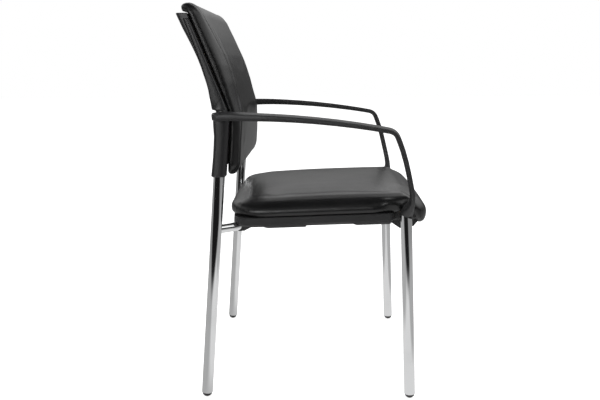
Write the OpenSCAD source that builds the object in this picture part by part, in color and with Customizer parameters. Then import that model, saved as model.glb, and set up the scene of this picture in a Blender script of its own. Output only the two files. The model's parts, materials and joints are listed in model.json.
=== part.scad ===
// Visitor chair with arms: chrome four-leg tube frame, black moulded arms,
// upholstered seat over a moulded pan, and a cranked upholstered back.
// The sitter faces -Y, +X is the sitter's left, and the floor is z = 0.

/* [Legs] */
// Outer diameter of the leg tubes
leg_d = 25; // [19:0.5:32]
// Wall of the leg tubes
leg_wall = 2; // [1.2:0.1:3]
// Distance of each foot outside the seat cushion's side
foot_out = 8; // [4:1:20]
// Distance of each foot from the middle, front to back
foot_y = 234.6; // [200:0.1:270]
// Lean of the front legs towards the back, in degrees
front_lean = 2.6; // [0:0.1:5]
// Lean of the rear legs towards the front, in degrees
rear_lean = 4.76; // [2:0.02:7]
// Inward lean of the front legs, in degrees
front_splay = 0.7; // [0:0.1:2]
// Inward lean of the rear legs, in degrees
rear_splay = 1.4; // [0:0.1:2.4]
// Height of the front legs' top ends over the seat line, inside the arms
front_leg_over = 5.2; // [0:0.1:10]
// Drop of the rear legs' top ends below the arms' rear ends
rear_leg_under = 11; // [10:0.5:40]

/* [Glides] */
// Height of the dome that shows below each tube
glide_h = 10.5; // [6:0.5:16]
// Diameter of the dome where it meets the tube
glide_d = 23.6; // [16:0.1:24.6]
// Length of the glide's stem inside the tube
glide_stem = 24; // [10:1:40]

/* [Seat frame] */
// Outer diameter of the cross tubes
cross_d = 20; // [16:0.5:25]
// Wall of the cross tubes and of the rails
cross_wall = 1.5; // [1:0.1:2.5]
// Drop of the front cross tube's middle below the seat line
front_cross_drop = 17.3; // [14:0.1:25]
// Drop of the rear cross tube's middle below the seat line
rear_cross_drop = 29.8; // [26:0.1:40]
// Distance of the rear cross tube's straight stretch behind the middle
rear_cross_y = 150; // [110:1:160]
// Distance of the rear cross tube's two bends inside the feet
rear_bend_in = 43; // [35:1:70]
// Radius of the rear cross tube's bends
rear_bend_r = 45; // [25:1:60]
// Outer diameter of the side rails
rail_d = 18; // [14:0.5:20]
// Distance of each side rail inside the bends
rail_in = 50; // [42:1:100]
// Length of each bracket along its cross tube
bracket_l = 32; // [20:1:40]
// Wall of the brackets under the tube
bracket_wall = 2.2; // [1.5:0.1:5]

/* [Seat] */
// Height of the line where the cushion meets the pan, at the middle
seat_line_h = 425.8; // [420:0.1:455]
// Backward tilt of the seat, in degrees
seat_tilt = 2.1; // [0:0.1:5]
// Width of the seat cushion
seat_w = 450; // [420:1:458]
// Distance from the middle to the front of the cushion
seat_front = 271; // [255:1:290]
// Distance from the middle to the back of the cushion
seat_rear = 178; // [165:1:182]
// Height of the cushion's edge over the pan
seat_edge_h = 31; // [26:1:60]
// Rise of the cushion's middle over its edge
seat_crown = 12; // [4:1:30]
// Drop of the waterfall front below the pan line
seat_drop = 31; // [10:1:34]
// Thickness of the seat board
seat_board_t = 12; // [8:1:15]
// Depth of the pan's skirt below the pan line
pan_h = 16; // [10:0.5:20]
// Wall of the seat pan
pan_wall = 3; // [2:0.5:4]
// Height of the bevel at the foot of the skirt
pan_bevel = 7; // [3:0.5:9]
// How far the pan stands in from the cushion's side
pan_set_in = 3; // [1:0.5:8]

/* [Stacking pads] */
// Thickness of the stacking pads below the pan
stack_t = 2; // [2:0.5:10]
// Length of the front stacking pads
stack_front_l = 100; // [60:1:120]
// Length of the rear stacking pads
stack_rear_l = 114; // [60:1:130]
// Middle of the front stacking pads, in front of the middle
stack_front_y = 136; // [110:1:138]
// Middle of the rear stacking pads, behind the middle
stack_rear_y = 57; // [20:1:60]

/* [Back] */
// How much narrower the back cushion is than the seat cushion
pad_in = 16; // [12:1:60]
// Height of the bottom of the back cushion
pad_bottom = 516; // [500:0.5:555]
// Height of the top of the back cushion
pad_top = 881; // [855:0.5:925]
// Height of the crank in the back over the arms' rear ends
knee_over = 1; // [-4:0.5:10]
// Backward lean of the back above the crank, in degrees
back_lean = 21.7; // [14:0.1:26]
// Thickness of the back cushion at its seams, below the crank
pad_t_low = 23; // [20:1:40]
// Thickness of the back cushion at its seams, where it is fullest
pad_t_high = 33; // [22:1:45]
// Rise of the back cushion's middle over its edge
pad_crown = 4; // [0:1:14]
// Thickness of the back board
back_board_t = 9; // [6:1:12]
// Drop of the rear shell's top below the top of the back cushion
shell_under = 23.5; // [21:0.5:46]
// Thickness of the shell's wall
shell_wall = 3; // [2:0.5:4]
// Drop of the sleeves round the rear legs below the back cushion
sleeve_under = 1; // [-15:0.5:20]
// Wall of the sleeves round the rear legs
sleeve_wall = 3.6; // [2.5:0.1:6]
// Thickness of the web between the side members
web_t = 4; // [3:0.5:6]

/* [Arms] */
// Distance of the arm's middle outside the feet, at the corner
arm_out = 37; // [30:1:55]
// Distance of the arm's corner in front of the middle
arm_corner_y = 183; // [150:1:200]
// Height of the middle of the arm's corner
arm_corner_h = 615.5; // [585:0.5:645]
// Height of the middle of the arm's rear end
arm_rear_h = 646; // [640:0.5:650]
// Width of the armrest
arm_w = 28; // [24:1:30]
// Thickness of the arm at its corner
arm_t_front = 11.6; // [9:0.1:16]
// Thickness of the arm at its rear end
arm_t_rear = 18; // [12:0.1:20]
// Fall of the armrest's top face from its inner to its outer edge
arm_fall = 3.4; // [0:0.1:5]
// Wall of the arm's collar round the front leg
collar_wall = 1.7; // [1.2:0.1:3]

/* [Fasteners] */
// Diameter of the larger screws
screw_d = 6; // [5:0.5:8]
// Diameter of the smaller screws
small_screw_d = 4; // [3:0.5:5]

/* [Hidden] */

$fn = 48;
foot_x = seat_w / 2 + foot_out;
rear_bend_x = foot_x - rear_bend_in;
rail_x = rear_bend_x - rail_in;
arm_x = foot_x + arm_out;
pad_w = seat_w - pad_in;
front_leg_top = seat_line_h + front_leg_over;
front_cross_h = seat_line_h - front_cross_drop;
rear_cross_h = seat_line_h - rear_cross_drop;
rear_leg_top = arm_rear_h - rear_leg_under;
sleeve_bottom = pad_bottom - sleeve_under;
knee_h = arm_rear_h + knee_over;
shell_top = pad_top - shell_under;

fit = 0.15;      // radial clearance of a tube in its socket
weld = 0.1;      // gap left at a welded joint
tube_room = 1;   // room round a tube where it passes a skirt
seat_gap = 0.3;  // gap under a soft or a screwed piece
far = 400;       // longer than any piece that a cut goes through

black = [0.07, 0.07, 0.075];
chrome = [0.78, 0.79, 0.8];
leather = [0.13, 0.13, 0.135];
ply = [0.72, 0.58, 0.4];
zinc = [0.62, 0.62, 0.6];

// Small helpers

// Ring of 20 points: a rectangle of half sizes hx and hy with corners of radius r
function rounded_ring(hx, hy, r) = [for (i = [0:19]) let(a = 18 * i + 9, q = r / cos(9))
    [sign(cos(a)) * (hx - r) + q * cos(a), sign(sin(a)) * (hy - r) + q * sin(a)]];
function clamp01(t) = max(0, min(1, t));
function smooth(t) = let(u = clamp01(t)) u * u * (3 - 2 * u);
function mix(a, b, t) = a + (b - a) * t;
function unit(v) = v / norm(v);

// Puts the child's +Z axis on the line from p to q, starting at p
module along(p, q) {
    v = q - p;
    translate(p)
        rotate([0, acos(v.z / norm(v)), atan2(v.y, v.x)])
            children();
}

module rod(p, q, d) {
    along(p, q) cylinder(h = norm(q - p), d = d);
}

module tube(p, q, d, wall) {
    along(p, q) difference() {
        cylinder(h = norm(q - p), d = d);
        translate([0, 0, -1]) cylinder(h = norm(q - p) + 2, d = d - 2 * wall);
    }
}

module both_sides() {
    children();
    mirror([1, 0, 0]) children();
}

// A solid skin over rings of points, all rings turning the same way.
// The first ring faces away from the last one.
module skin(rings) {
    n = len(rings[0]);
    m = len(rings);
    points = [for (r = rings) each r];
    walls = [for (k = [0:m - 2], i = [0:n - 1]) let(j = (i + 1) % n)
        each [[k * n + i, (k + 1) * n + j, k * n + j],
              [k * n + i, (k + 1) * n + i, (k + 1) * n + j]]];
    polyhedron(points, concat([[for (i = [0:n - 1]) i]], walls,
        [[for (i = [n - 1:-1:0]) (m - 1) * n + i]]));
}

// The same, with both ends closed by a fan round a point
module fan_skin(first, rings, last) {
    n = len(rings[0]);
    m = len(rings);
    points = concat([first], [for (r = rings) each r], [last]);
    walls = [for (k = [0:m - 2], i = [0:n - 1]) let(j = (i + 1) % n)
        each [[1 + k * n + i, 1 + (k + 1) * n + j, 1 + k * n + j],
              [1 + k * n + i, 1 + (k + 1) * n + i, 1 + (k + 1) * n + j]]];
    low = [for (i = [0:n - 1]) [0, 1 + i, 1 + (i + 1) % n]];
    high = [for (i = [0:n - 1]) [m * n + 1, 1 + (m - 1) * n + (i + 1) % n, 1 + (m - 1) * n + i]];
    polyhedron(points, concat(low, walls, high));
}

// Outline with an arc of radius r at each corner, from [x, y, r, steps] rows
function rounded(c) = [for (i = [0:len(c) - 1])
    let(n = len(c), p = [c[i].x, c[i].y], a = [c[(i + n - 1) % n].x, c[(i + n - 1) % n].y],
        b = [c[(i + 1) % n].x, c[(i + 1) % n].y], u = unit(a - p), v = unit(b - p),
        half = acos(u * v) / 2, mid = p + unit(u + v) * c[i][2] / sin(half),
        s = p + u * c[i][2] / tan(half), e = p + v * c[i][2] / tan(half),
        g0 = atan2(s.y - mid.y, s.x - mid.x), g1 = atan2(e.y - mid.y, e.x - mid.x),
        turn = g1 - g0 > 180 ? g1 - g0 - 360 : (g1 - g0 < -180 ? g1 - g0 + 360 : g1 - g0),
        steps = c[i][3])
    for (k = [0:steps]) let(g = g0 + turn * k / steps) mid + c[i][2] * [cos(g), sin(g)]];

// Even points along the straight stretches, no longer than step
function dense(pts, step) = [for (i = [0:len(pts) - 1])
    let(a = pts[i], b = pts[(i + 1) % len(pts)], n = max(1, round(norm(b - a) / step)))
    for (k = [0:n - 1]) mix(a, b, k / n)];

// Inward normal at each point of an anticlockwise outline
function inward(pts) = [for (i = [0:len(pts) - 1])
    let(n = len(pts), u = unit(pts[i] - pts[(i + n - 1) % n]), v = unit(pts[(i + 1) % n] - pts[i]),
        w = unit(u + v))
    [-w.y, w.x] / max(0.5, u * w)];

function inset(pts, d) = let(w = inward(pts)) [for (i = [0:len(pts) - 1]) pts[i] + d * w[i]];

// Legs and glides

function front_leg(z) = [foot_x - z * tan(front_splay), -foot_y + z * tan(front_lean), z];
function rear_leg(z) = [foot_x - z * tan(rear_splay), foot_y - z * tan(rear_lean), z];
inner_d = leg_d - 2 * leg_wall;
front_screw_h = front_leg_top - 22;

module front_leg_part() {
    difference() {
        tube(front_leg(glide_h), front_leg(front_leg_top), leg_d, leg_wall);
        arm_front_screw_path(screw_d + 0.4);
    }
}

module rear_leg_part() {
    tube(rear_leg(glide_h), rear_leg(rear_leg_top), leg_d, leg_wall);
}

// Domed plastic foot, cut flat where it stands on the floor
module glide(foot, above) {
    flat = 0.8;
    stem_d = inner_d - 2 * fit;
    difference() {
        along(foot, above) {
            intersection() {
                translate([0, 0, glide_d / 2 - flat]) sphere(d = glide_d);
                translate([0, 0, -glide_d]) cylinder(h = glide_d + glide_h, d = 2 * glide_d);
            }
            translate([0, 0, glide_h - 2]) cylinder(h = glide_stem + 2, d = stem_d);
        }
        translate([-far, -far, -2 * far]) cube([2 * far, 2 * far, 2 * far]);
    }
}

// Seat frame: two cross tubes, two rails, four brackets

front_cross_y = front_leg(front_cross_h).y;
bend_run = [rear_leg(rear_cross_h).x - rear_bend_x, rear_leg(rear_cross_h).y - rear_cross_y];
bend_angle = atan2(bend_run.y, bend_run.x);
bend_cut = rear_bend_r * tan(bend_angle / 2);

module leg_cut() {
    both_sides() {
        rod(front_leg(0), front_leg(front_leg_top), leg_d + 2 * weld);
        rod(rear_leg(0), rear_leg(rear_leg_top), leg_d + 2 * weld);
    }
}

module front_cross_solid(d, over = 0) {
    reach = front_leg(front_cross_h).x + over;
    translate([-reach, front_cross_y, front_cross_h])
        rotate([0, 90, 0]) cylinder(h = 2 * reach, d = d);
}

// The bends are a hair thicker than the straights, so the lap between them has clean edges
module rear_cross_solid(d) {
    flat_x = rear_bend_x - bend_cut;
    lap = 0.8;
    translate([-flat_x, rear_cross_y, rear_cross_h])
        rotate([0, 90, 0]) cylinder(h = 2 * flat_x, d = d);
    both_sides() {
        translate([flat_x, rear_cross_y + rear_bend_r, rear_cross_h])
            rotate([0, 0, -90 - lap])
                rotate_extrude(angle = bend_angle + 2 * lap)
                    translate([rear_bend_r, 0]) circle(d = d + 0.16);
        rod([rear_bend_x + bend_cut * cos(bend_angle), rear_cross_y + bend_cut * sin(bend_angle),
            rear_cross_h], rear_leg(rear_cross_h), d);
    }
}

module front_cross_tube() {
    color(chrome) difference() {
        front_cross_solid(cross_d);
        front_cross_solid(cross_d - 2 * cross_wall, 1);
        leg_cut();
    }
}

module rear_cross_tube() {
    color(chrome) difference() {
        rear_cross_solid(cross_d);
        rear_cross_solid(cross_d - 2 * cross_wall);
        leg_cut();
    }
}

// The seat has its own tilted frame: z = 0 is the line between cushion and pan
module on_seat() {
    translate([0, 0, seat_line_h]) rotate([-seat_tilt, 0, 0]) children();
}

function to_seat(y, z) = [y * cos(seat_tilt) - (z - seat_line_h) * sin(seat_tilt),
    y * sin(seat_tilt) + (z - seat_line_h) * cos(seat_tilt)];
front_tube = to_seat(front_cross_y, front_cross_h);
rear_tube = to_seat(rear_cross_y, rear_cross_h);
deck_under = -pan_wall;

module side_rail() {
    z = deck_under - seat_gap - rail_d / 2;
    color(black) difference() {
        on_seat() translate([rail_x, front_tube.x - cross_d / 4, z]) rotate([-90, 0, 0])
            difference() {
                l = rear_tube.x - front_tube.x + cross_d / 2;
                cylinder(h = l, d = rail_d);
                translate([0, 0, -1]) cylinder(h = l + 2, d = rail_d - 2 * cross_wall);
            }
        front_cross_solid(cross_d + 2 * weld);
        rear_cross_solid(cross_d + 2 * weld);
    }
}

bracket_x = rear_bend_x - bracket_l;
bracket_top = deck_under - seat_gap;
bracket_r = cross_d / 2 + bracket_wall;
front_bracket_ahead = bracket_r + 13;
front_bracket_behind = bracket_r + 17;
bracket_lip = 5.3;   // how far the front bracket reaches under the pan's front edge
seat_screw_front = bracket_r + 6.5;
rear_bracket_run = bracket_r + 21;
seat_head_room = screw_d * 1.8 + 0.8;
seat_screw_rear = bracket_r + 10;

// Profiles are drawn with x along the seat's depth and y upwards
module front_bracket_profile() {
    c = front_tube;
    low = c.y - bracket_r;
    ahead = c.x - front_bracket_ahead;
    lip = -pan_h - pan_bevel - 2 * seat_gap;
    polygon([[ahead, bracket_top], [ahead, lip], [ahead - bracket_lip, lip],
        [ahead - bracket_lip - 0.5, min(lip - 1, low + 10.7)], [c.x - bracket_r - 8.6, low - 1.4],
        [c.x + bracket_r - 2.2, low - 5], [c.x + bracket_r + 13.6, low + 6.6],
        [c.x + front_bracket_behind, low + 8.6], [c.x + front_bracket_behind, bracket_top]]);
}

module rear_bracket_profile() {
    c = rear_tube;
    low = c.y - bracket_r;
    polygon([[c.x - rear_bracket_run, bracket_top], [c.x - rear_bracket_run, c.y + 1],
        [c.x - 6, low], [c.x + 7, low], [c.x + bracket_r + 1, c.y],
        [c.x + bracket_r + 1, bracket_top]]);
}

module across_seat(x, l) {
    on_seat() translate([x, 0, 0]) rotate([90, 0, 90]) linear_extrude(l) children();
}

module front_bracket() {
    color(black) difference() {
        across_seat(bracket_x, bracket_l) front_bracket_profile();
        front_cross_solid(cross_d + 2 * fit, 1);
        seat_screw_paths(screw_d + 0.5, seat_head_room);
        leg_cut();
    }
}

module rear_bracket() {
    color(black) difference() {
        across_seat(bracket_x, bracket_l) rear_bracket_profile();
        rear_cross_solid(cross_d + 2 * fit);
        seat_screw_paths(screw_d + 0.5, seat_head_room);
        leg_cut();
    }
}

// Centres of the seat screws on one side, in the seat's frame
seat_screws_at = [[bracket_x + bracket_l / 2, front_tube.x - seat_screw_front],
    [bracket_x + bracket_l / 2, front_tube.x + seat_screw_front],
    [bracket_x + bracket_l / 2, rear_tube.x - seat_screw_rear]];
screw_seat_z = bracket_top - 8;

module seat_screw_paths(d, head) {
    on_seat() both_sides() for (p = seat_screws_at) translate([p.x, p.y, 0]) {
        translate([0, 0, screw_seat_z - 1]) cylinder(h = far / 4, d = d);
        translate([0, 0, screw_seat_z - far / 4]) cylinder(h = far / 4, d = head);
    }
}

// Pan head with a hexagon socket, head down, at the origin
module screw(d, l) {
    difference() {
        union() {
            cylinder(h = l, d = d);
            translate([0, 0, -d * 0.55]) cylinder(h = d * 0.55, d = d * 1.8);
        }
        translate([0, 0, -d]) cylinder(h = d * 0.8, d = d * 0.75, $fn = 6);
    }
}

module seat_screws() {
    l = -screw_seat_z + seat_board_t * 0.75;
    color(zinc) on_seat() both_sides() for (p = seat_screws_at)
        translate([p.x, p.y, screw_seat_z]) screw(screw_d, l);
}

// Seat pan: a tray turned upside down, with a bevelled skirt cut out at the front legs

pan_half = seat_w / 2 - pan_set_in;
pan_front = seat_front - 19;
pan_rear = seat_rear - 11;
notch_x = front_leg(seat_line_h).x - leg_d / 2 - 12;
notch_y = front_leg(seat_line_h).y + leg_d / 2 + 11;
pan_half_outline = [[notch_x, -pan_front, 24, 5], [notch_x, notch_y, 3.5, 3],
    [pan_half, notch_y, 14, 5], [pan_half, pan_rear, 46, 8]];
pan_outline = dense(rounded(concat(pan_half_outline,
    [for (i = [3:-1:0]) let(c = pan_half_outline[i]) [-c.x, c.y, c[2], c[3]]])), 90);

function pan_ring(d, z) = [for (p = inset(pan_outline, d)) [p.x, p.y, z]];

module seat_pan() {
    in = pan_bevel + 1;
    color(black) difference() {
        on_seat() fan_skin([0, 0, deck_under], [pan_ring(in + pan_wall, deck_under),
            pan_ring(pan_wall, deck_under), pan_ring(pan_wall, -pan_h + 1),
            pan_ring(in + pan_wall, -pan_h - pan_bevel), pan_ring(in, -pan_h - pan_bevel),
            pan_ring(0, -pan_h), pan_ring(0, -1.2), pan_ring(1.2, 0), pan_ring(in, 0)], [0, 0, 0]);
        seat_screw_paths(screw_d + 0.5, 1);
        front_tube_slot();
        rear_tube_slot();
    }
}

// Room in the skirt for the cross tubes, open at the bottom
module front_tube_slot() {
    w = cross_d + 2 * tube_room;
    front_cross_solid(w, far / 8);
    translate([-far / 2, front_cross_y - w / 2, front_cross_h - far]) cube([far, w, far]);
}

module rear_tube_slot() {
    w = cross_d + 2 * tube_room;
    rear_cross_solid(w);
    both_sides() translate([rear_bend_x, rear_cross_y, rear_cross_h - far])
        rotate([0, 0, bend_angle]) translate([-w / 4, -w / 2, 0]) cube([far / 4, w, far]);
    on_seat() translate([-rear_bend_x - 1.5, rear_tube.x - w / 2, rear_tube.y - far])
        cube([2 * rear_bend_x + 3, far, far + w / 2]);
}

module seat_board() {
    color(ply) difference() {
        on_seat() linear_extrude(seat_board_t) polygon(inset(cushion_outline, cushion_wrap + seat_gap));
        seat_screw_paths(screw_d + 0.1, 1);
    }
}

// Seat cushion: crowned, with drawn-in sides and a waterfall front

cushion_wrap = 16;
c_half = seat_w / 2;
seat_bow = 4.5;
front_r = 62;
rear_r = 80;
cushion_outline = [for (p = dense(rounded([[c_half - 1, -seat_front + seat_bow, front_r, 8],
    [c_half, seat_rear - seat_bow, rear_r, 8], [-c_half, seat_rear - seat_bow, rear_r, 8],
    [-c_half + 1, -seat_front + seat_bow, front_r, 8]]), front_r))
    [p.x, p.y + sign(p.y) * seat_bow * (1 - pow(p.x / c_half, 2)) * smooth((abs(p.y) - 60) / 90)]];
cushion_normals = inward(cushion_outline);

// Rows of [inset, share of the edge's height] for the side, the rear and the waterfall front
side_profile = [[5, 0.01], [2.8, 0.08], [0.7, 0.19], [0, 0.34], [1, 0.49], [4.2, 0.64], [11, 0.8], [23, 0.92],
    [42, 1]];
rear_profile = [[5, 0.01], [2.8, 0.09], [0.7, 0.22], [0, 0.4], [0.6, 0.58], [2.8, 0.74], [9, 0.87],
    [22, 0.93], [46, 0.985]];
front_profile = [[13, -0.97], [5, -0.88], [0.6, -0.55], [0, -0.2], [3, 0.09], [9, 0.33], [18, 0.56],
    [33, 0.78], [58, 0.975]];

// How much a point of the outline belongs to the front or to the rear, from its normal
function frontness(i) = smooth((cushion_normals[i].y - 0.35) / 0.55);
function rearness(i) = smooth((-cushion_normals[i].y - 0.35) / 0.55);

// Top surface over the pan line: crowned both ways, lower to the rear edge
function seat_top(x, y) = let(u = clamp01(abs(x) / c_half),
    v = (y + 30) / (seat_rear + 30), w = v > 0 ? v : v * 0.72)
    seat_edge_h + seat_crown * (1 - pow(u, 2.6)) * (1 - pow(clamp01(abs(w)), 2.6)) + 2 * (1 - clamp01(w));

// The side is pressed in where the front leg's collar passes it
function leg_dent(p, z) = let(
    leg = front_leg(seat_line_h),
    near = max(0, 1 - pow((p.y - leg.y) / 34, 2)),
    low = 1 - smooth((z - 14) / 20))
    12 * near * near * low;

function cushion_ring(k) = [for (i = [0:len(cushion_outline) - 1])
    let(f = frontness(i), side = mix(side_profile[k], rear_profile[k], rearness(i)), front = front_profile[k],
        d = mix(side[0], front[0], f), base = cushion_outline[i] + d * cushion_normals[i],
        top = seat_top(base.x, base.y),
        z = mix(side[1] * top, front[1] > 0 ? front[1] * top : front[1] * seat_drop, f) + seat_gap,
        dent = leg_dent(base, z))
    [base.x - sign(base.x) * dent, base.y, z]];

function top_ring(s) = [for (p = cushion_ring(len(side_profile) - 1))
    let(x = p.x * s, y = (p.y + 45) * s - 45) [x, y, seat_top(x, y) + seat_gap]];

function pocket_ring(z) = let(flat = inset(cushion_outline, cushion_wrap))
    [for (p = flat) [p.x, p.y, z]];

function rim_ring() = let(outer = cushion_ring(0), flat = inset(cushion_outline, cushion_wrap))
    [for (i = [0:len(flat) - 1]) [flat[i].x, flat[i].y, outer[i].z]];

module seat_cushion() {
    z = seat_board_t + seat_gap;
    color(leather) on_seat() fan_skin([0, -45, z],
        concat([pocket_ring(z), rim_ring()], [for (k = [0:len(side_profile) - 1]) cushion_ring(k)],
            [for (s = [0.84, 0.65, 0.45, 0.22]) top_ring(s)]),
        [0, -45, seat_top(0, -45) + seat_gap]);
}

// Stacking pads: blocks that fill the bevel under the skirt and run out to nothing at the rear
module stack_pad(y, l) {
    in = pan_bevel + 1;
    x = pan_half - 0.31 * in;
    inner = x - 2.5 * in;
    z = -pan_h - seat_gap;
    low = z - pan_bevel;
    foot = low - stack_t;
    profile = [[x, low + (x - pan_half + in) * pan_bevel / in], [x, foot + 2.5], [x - 2.5, foot],
        [inner, foot], [inner, low], [pan_half - in, low]];
    window = [9, 3];
    color(black) difference() {
        on_seat() intersection() {
            translate([0, y + l / 2, 0]) rotate([90, 0, 0]) linear_extrude(l) polygon(profile);
            translate([x - far / 2, y, 0]) rotate([90, 0, 90]) linear_extrude(far)
                polygon([[-l / 2, z], [-l / 2 + l / 22, foot], [l / 2 - l / 4.5, foot], [l / 2, z]]);
        }
        on_seat() translate([x - 2, y - window.x / 2, low - window.y / 2])
            cube([far, window.x, window.y]);
        stack_screw_paths(y, l);
    }
}

stack_screw_x = pan_half - pan_bevel - 5;
stack_screw_share = 0.2;   // distance of the screws from a pad's middle, as a share of its length

module stack_screw_paths(y, l) {
    on_seat() for (s = [-1, 1])
        translate([stack_screw_x, y + s * l * stack_screw_share, -pan_h - pan_bevel - stack_t - 1])
            cylinder(h = stack_t + 1.4, d = small_screw_d + 0.4);
}

module stack_pad_screws() {
    seat_z = -pan_h - pan_bevel - stack_t + 0.2;
    color(zinc) both_sides() on_seat()
        for (p = [[-stack_front_y, stack_front_l], [stack_rear_y, stack_rear_l]], s = [-1, 1])
            translate([stack_screw_x, p.x + s * p.y * stack_screw_share, seat_z])
                cylinder(h = stack_t - 0.6, d = small_screw_d);
}

// Back: everything hangs on one line, the front face of the side members.
// Below the crank it runs with the rear legs, above it leans back.

line_ahead = leg_d / 2 + sleeve_wall + 0.6;
web_at = seat_gap;     // distance of the web's front face behind the back line
member_at = 1.1;       // the same for the side members

function low_line(z) = rear_leg(z).y - line_ahead;
function high_line(z) = low_line(knee_h) + (z - knee_h) * tan(back_lean);
function back_line(z) = let(a = low_line(z), b = high_line(z))
    (a + b) / 2 + sqrt(pow((a - b) / 2, 2) + 4);
function lean_at(z) = atan2(back_line(z + 1) - back_line(z - 1), 2);

waist_low = arm_rear_h - arm_t_rear / 2 - 1.5;
waist_high = arm_rear_h + arm_t_rear / 2 + 4.5;
member_top = shell_top - 11;
member_out = rear_leg(knee_h).x + 12.4;
member_w = 26;
member_r = 4;
sleeve_r = 10;
sleeve_ease = 40;    // height over which a sleeve's depth changes
upper_run = member_top - waist_high;

// Depth of the side member, front to back: sleeve, waist, then a taper to the top
function member_depth(z) =
    z < waist_low + 1 ? 2 * sleeve_half() + 0.5 - 1.6 * smooth((z - sleeve_bottom) / sleeve_ease)
        + 3.6 * smooth((z - waist_low + sleeve_ease) / sleeve_ease)
    : z < waist_high - 1 ? leg_d + 0.6
    : lookup((z - waist_high) / upper_run, [[0, 32], [0.1, 28], [0.22, 22.5], [0.34, 19], [0.48, 15.6],
        [0.62, 13.4], [0.8, 12.2], [1, 11.4]]);

function sleeve_half() = leg_d / 2 + sleeve_wall;

// One horizontal slice of the left side member
function member_ring(z, shrink = 0) = let(
    upper = z > waist_high - 1,
    xo = upper ? member_out : rear_leg(z).x + sleeve_half(),
    xi = upper ? member_out - member_w : rear_leg(z).x - sleeve_half(),
    yf = back_line(z) + member_at, yr = yf + member_depth(z) - (member_at - seat_gap),
    r = upper ? member_r : sleeve_r)
    [for (q = rounded_ring((xo - xi) / 2 - shrink, (yr - yf) / 2 - shrink, r - shrink / 2))
        [(xo + xi) / 2 + q.x, (yf + yr) / 2 + q.y, z]];

module side_member() {
    low = sleeve_bottom;
    skin(concat([member_ring(low, 1.5), member_ring(low + 1.5)],
        [for (k = [1:5]) member_ring(mix(low, waist_low, k / 5.5))],
        [member_ring(waist_low), member_ring(waist_low + 2.5), member_ring(knee_h),
            member_ring(waist_high - 2.5), member_ring(waist_high)],
        [for (k = [1:9]) member_ring(mix(waist_high, member_top - 1.5, k / 9))],
        [member_ring(member_top, 1.2)]));
}

// A band that follows the back line, from d0 behind it to d1 behind it
function band(z0, z1, d0, d1, steps) = concat(
    [for (k = [0:steps]) let(z = mix(z0, z1, k / steps)) [back_line(z) + d0, z]],
    [for (k = [steps:-1:0]) let(z = mix(z0, z1, k / steps)) [back_line(z) + d1, z]]);

module across_back(w) {
    translate([-w / 2, 0, 0]) rotate([90, 0, 90]) linear_extrude(w) children();
}

web_low = pad_bottom + 24;
web_half = member_out - member_w + 8;

module back_frame() {
    color(black) difference() {
        union() {
            both_sides() side_member();
            across_back(2 * web_half) polygon(band(web_low, member_top - 8, web_at, web_at + web_t, 14));
        }
        both_sides() {
            along(rear_leg(sleeve_bottom - 5), rear_leg(rear_leg_top)) rotate([0, 0, 130])
                cylinder(h = rear_leg_top - sleeve_bottom + 6, d = leg_d + 2 * fit);
            arm_rear_screw_path(screw_d - 0.8);
            arm_boss_path();
        }
        back_screw_paths(back_screw_d + 0.4);
    }
}

// Rear shell: lies between the side members low down and covers them higher up

cover_from = mix(knee_h, shell_top, 0.286);
shell_low = pad_bottom + 21;
shell_in = member_out - member_w - 1;
shell_out = member_out - 1;

// Distance of the shell's rear face behind the back line
function shell_depth(z) = let(u = (z - shell_low) / (shell_top - shell_low))
    lookup(u, [[0, 12], [0.04, 19], [0.15, 22.5], [0.4, 23.2], [0.5, 22], [0.6, 19], [0.68, 16.6],
        [0.74, 16.8], [0.8, 18.6], [0.91, 22.6], [1, 23.6]]);

// One slice: a wide rear part that laps the members, and a narrower part between them
function shell_slice(z, wide, ahead) = let(y = back_line(z), rear = shell_depth(z),
    step = max(ahead + 0.5, min(member_depth(z) + 2 * seat_gap, rear - 1.4)),
    r = min(8, rear - step - 0.4))
    concat([for (k = [0:4]) let(g = 22.5 * k) [wide - r + r * cos(g), y + rear - r + r * sin(g), z]],
        [for (k = [4:-1:0]) let(g = 22.5 * k) [-wide + r - r * cos(g), y + rear - r + r * sin(g), z]],
        [[-wide, y + step, z], [-shell_in, y + step, z], [-shell_in, y + ahead, z], [shell_in, y + ahead, z],
            [shell_in, y + step, z], [wide, y + step, z]]);

// The hollow of the shell, open to the front
function hollow_slice(z) = let(y = back_line(z), rear = shell_depth(z) - shell_wall,
    w = shell_in - shell_wall)
    [[w, y, z], [w, y + rear - 4, z], [w - 4, y + rear, z],
        [-w + 4, y + rear, z], [-w, y + rear - 4, z], [-w, y, z]];

module back_shell() {
    ahead = web_at + web_t + 0.7;
    slim = shell_in - 0.8;
    hollow_low = shell_low + shell_wall;
    color(black) difference() {
        union() {
            difference() {
                fan_skin([0, back_line(shell_low) + shell_depth(shell_low) - 0.6, shell_low],
                    concat([for (k = [0:8])
                            shell_slice(mix(shell_low, cover_from - 12, k / 8), slim, ahead)],
                        [for (k = [0:7])
                            shell_slice(mix(cover_from, member_top - 0.2, k / 7), shell_out, ahead)],
                        [shell_cap(member_top + seat_gap), shell_cap(shell_top - 1.5), shell_cap(shell_top, 1.2)]),
                    [0, back_line(shell_top) + shell_depth(shell_top) / 2, shell_top]);
                skin([for (k = [0:12]) hollow_slice(mix(hollow_low, member_top - 8, k / 12))]);
            }
            shell_posts();
        }
        back_screw_heads();
    }
}

// The cap over the members' ends, as wide and deep as the shell
function shell_cap(z, shrink = 0) = let(y = back_line(z), rear = shell_depth(z) - shrink, r = 8,
    wide = shell_out - shrink, front = y + seat_gap)
    concat([for (k = [0:4]) let(g = 22.5 * k) [wide - r + r * cos(g), y + rear - r + r * sin(g), z]],
        [for (k = [4:-1:0]) let(g = 22.5 * k) [-wide + r - r * cos(g), y + rear - r + r * sin(g), z]],
        [[-wide, front, z], [-shell_in - 0.5, front, z], [-shell_in, front, z], [shell_in, front, z],
            [shell_in + 0.5, front, z], [wide, front, z]]);

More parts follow.
